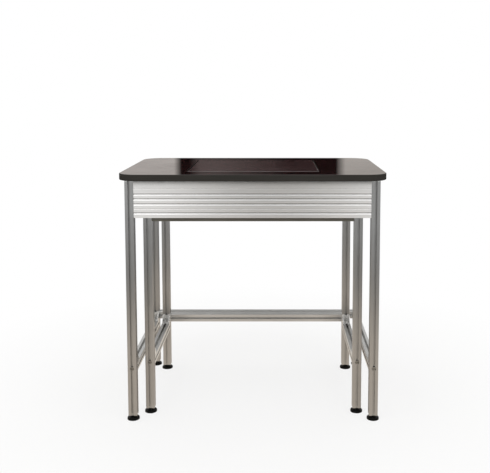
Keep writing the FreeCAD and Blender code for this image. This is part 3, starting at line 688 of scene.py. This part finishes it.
def make_floor():
    """Pale floor that takes the shadow. The eye sees the white under it too, so that a foot that is
    screwed out below the floor's level stays in view."""
    floor = panel("floor", Vector((0, 0, 0)), Vector((FLOOR_RADIUS, 0, 0)),
                  Vector((0, FLOOR_RADIUS, 0)))
    finish = bpy.data.materials.new("pale_floor")
    tree = empty_tree(finish)
    place_on_floor = place(tree, "ShaderNodeTexCoord").outputs["Object"]
    away = place(tree, "ShaderNodeVectorMath", {0: place_on_floor},
                 operation="LENGTH").outputs["Value"]
    path = place(tree, "ShaderNodeLightPath").outputs
    mirrored = mixed(tree, ranged(tree, away, *MIRRORED_NEAR_TO_MIDDLE), FLOOR_MIRRORED_NEAR,
                     FLOOR_MIRRORED_MIDDLE)
    mirrored = mixed(tree, ranged(tree, away, *MIRRORED_MIDDLE_TO_FAR), mirrored,
                     FLOOR_MIRRORED_FAR)
    matt = place(tree, "ShaderNodeBsdfDiffuse", {"Color": FLOOR_COLOUR})
    glow = place(tree, "ShaderNodeEmission", {"Color": mirrored, "Strength": 1.0})
    clear = place(tree, "ShaderNodeBsdfTransparent", {"Color": WHITE})
    white = blended(tree, path["Is Camera Ray"], glow, clear)
    whiteness = ranged(tree, away, WHITE_FROM, WHITE_TO, to_low=FLOOR_WHITE_NEAR)
    whiteness = maths(tree, "ADD", whiteness, path["Is Glossy Ray"])
    share = maths(tree, "MULTIPLY", seen_directly(tree), whiteness)
    blend = blended(tree, share, matt, white)
    place(tree, "ShaderNodeOutputMaterial", {"Surface": blend.outputs[0]})
    floor.data.materials.append(finish)


def flag(name, centre, across, upward, tone):
    """Studio card that only mirror-like surfaces show. Its tone is a function of its tree."""
    card = panel(name, centre, across, upward)
    finish = bpy.data.materials.new(name + "_tone")
    tree = empty_tree(finish)
    glow = place(tree, "ShaderNodeEmission", {"Color": tone(tree), "Strength": 1.0})
    place(tree, "ShaderNodeOutputMaterial", {"Surface": glow.outputs[0]})
    card.data.materials.append(finish)
    card.visible_camera = False
    card.visible_diffuse = False
    card.visible_shadow = False
    card.visible_transmission = False


def tone_behind(tree):
    """Dark in the middle, dim left of it, pale at both ends, and white towards the top."""
    spot = place(tree, "ShaderNodeTexCoord").outputs["Object"]
    spot_parts = place(tree, "ShaderNodeSeparateXYZ", {0: spot}).outputs
    across, height = spot_parts["X"], spot_parts["Z"]
    left = ranged(tree, across, *FLAG_LEFT_EDGE, to_low=1.0, to_high=0.0)
    right = ranged(tree, across, *FLAG_RIGHT_EDGE)
    dim = maths(tree, "MULTIPLY", ranged(tree, across, *FLAG_DIM_FROM),
                ranged(tree, across, *FLAG_DIM_TO, to_low=1.0, to_high=0.0))
    middle = mixed(tree, dim, FLAG_DARK, FLAG_DIM)
    pale = mixed(tree, left, FLAG_PALE_RIGHT, FLAG_PALE_LEFT)
    card = mixed(tree, maths(tree, "ADD", left, right), middle, pale)
    return mixed(tree, ranged(tree, height, *FLAG_FADE), card, WHITE)


def tone_in_front(tree):
    """Dark card with soft sides."""
    spot = place(tree, "ShaderNodeTexCoord").outputs["Object"]
    across = place(tree, "ShaderNodeSeparateXYZ", {0: spot}).outputs["X"]
    centre = FRONT_FLAG_CENTRE.x
    left = ranged(tree, across, centre - FRONT_FLAG_HALF, centre - FRONT_FLAG_CORE,
                  to_low=1.0, to_high=0.0)
    right = ranged(tree, across, centre + FRONT_FLAG_CORE, centre + FRONT_FLAG_HALF)
    return mixed(tree, maths(tree, "ADD", left, right), FLAG_DARK, WHITE)


def make_flags():
    """A card behind the table that its polished top mirrors, and one behind the camera."""
    flag("flag_behind", BACK_FLAG_CENTRE, Vector((BACK_FLAG_HALF, 0, 0)),
         Vector((0, 0, BACK_FLAG_RISE)), tone_behind)
    flag("flag_in_front", FRONT_FLAG_CENTRE, Vector((FRONT_FLAG_HALF, 0, 0)),
         Vector((0, 0, FRONT_FLAG_RISE)), tone_in_front)


def make_sky():
    sky = bpy.data.worlds.new("studio_sky")
    bpy.context.scene.world = sky
    tree = empty_tree(sky)
    fill = place(tree, "ShaderNodeBackground", {"Color": SKY_COLOUR, "Strength": SKY_FILL})
    white = place(tree, "ShaderNodeBackground", {"Color": WHITE, "Strength": 1.0})
    blend = blended(tree, seen_directly(tree), fill, white)
    place(tree, "ShaderNodeOutputWorld", {"Surface": blend.outputs[0]})


def make_lamps():
    for name, centre, width, height, power in LAMPS:
        lamp = bpy.data.lights.new(name, "AREA")
        lamp.shape = "RECTANGLE"
        lamp.size, lamp.size_y, lamp.energy = width, height, power
        made = add_object(name, lamp)
        made.location = centre
        aim = Vector(LAMP_TARGET) - Vector(centre)
        made.rotation_euler = aim.to_track_quat("-Z", "Y").to_euler()


def make_camera():
    lens = bpy.data.cameras.new("camera")
    lens.sensor_fit = "HORIZONTAL"
    lens.sensor_width = SENSOR_WIDTH_MM
    lens.lens = FOCAL_PIXELS / PICTURE_WIDTH * SENSOR_WIDTH_MM
    lens.shift_x, lens.shift_y = CAMERA_SHIFT
    camera = add_object("camera", lens)
    camera.location = CAMERA_PLACE
    camera.rotation_euler = (math.radians(90) - CAMERA_PITCH, 0, 0)
    bpy.context.scene.camera = camera


finish_cad_nodes()
make_threaded_studs()
make_floor()
make_flags()
make_sky()
make_lamps()
make_camera()
bpy.context.scene.view_settings.view_transform = "Standard"
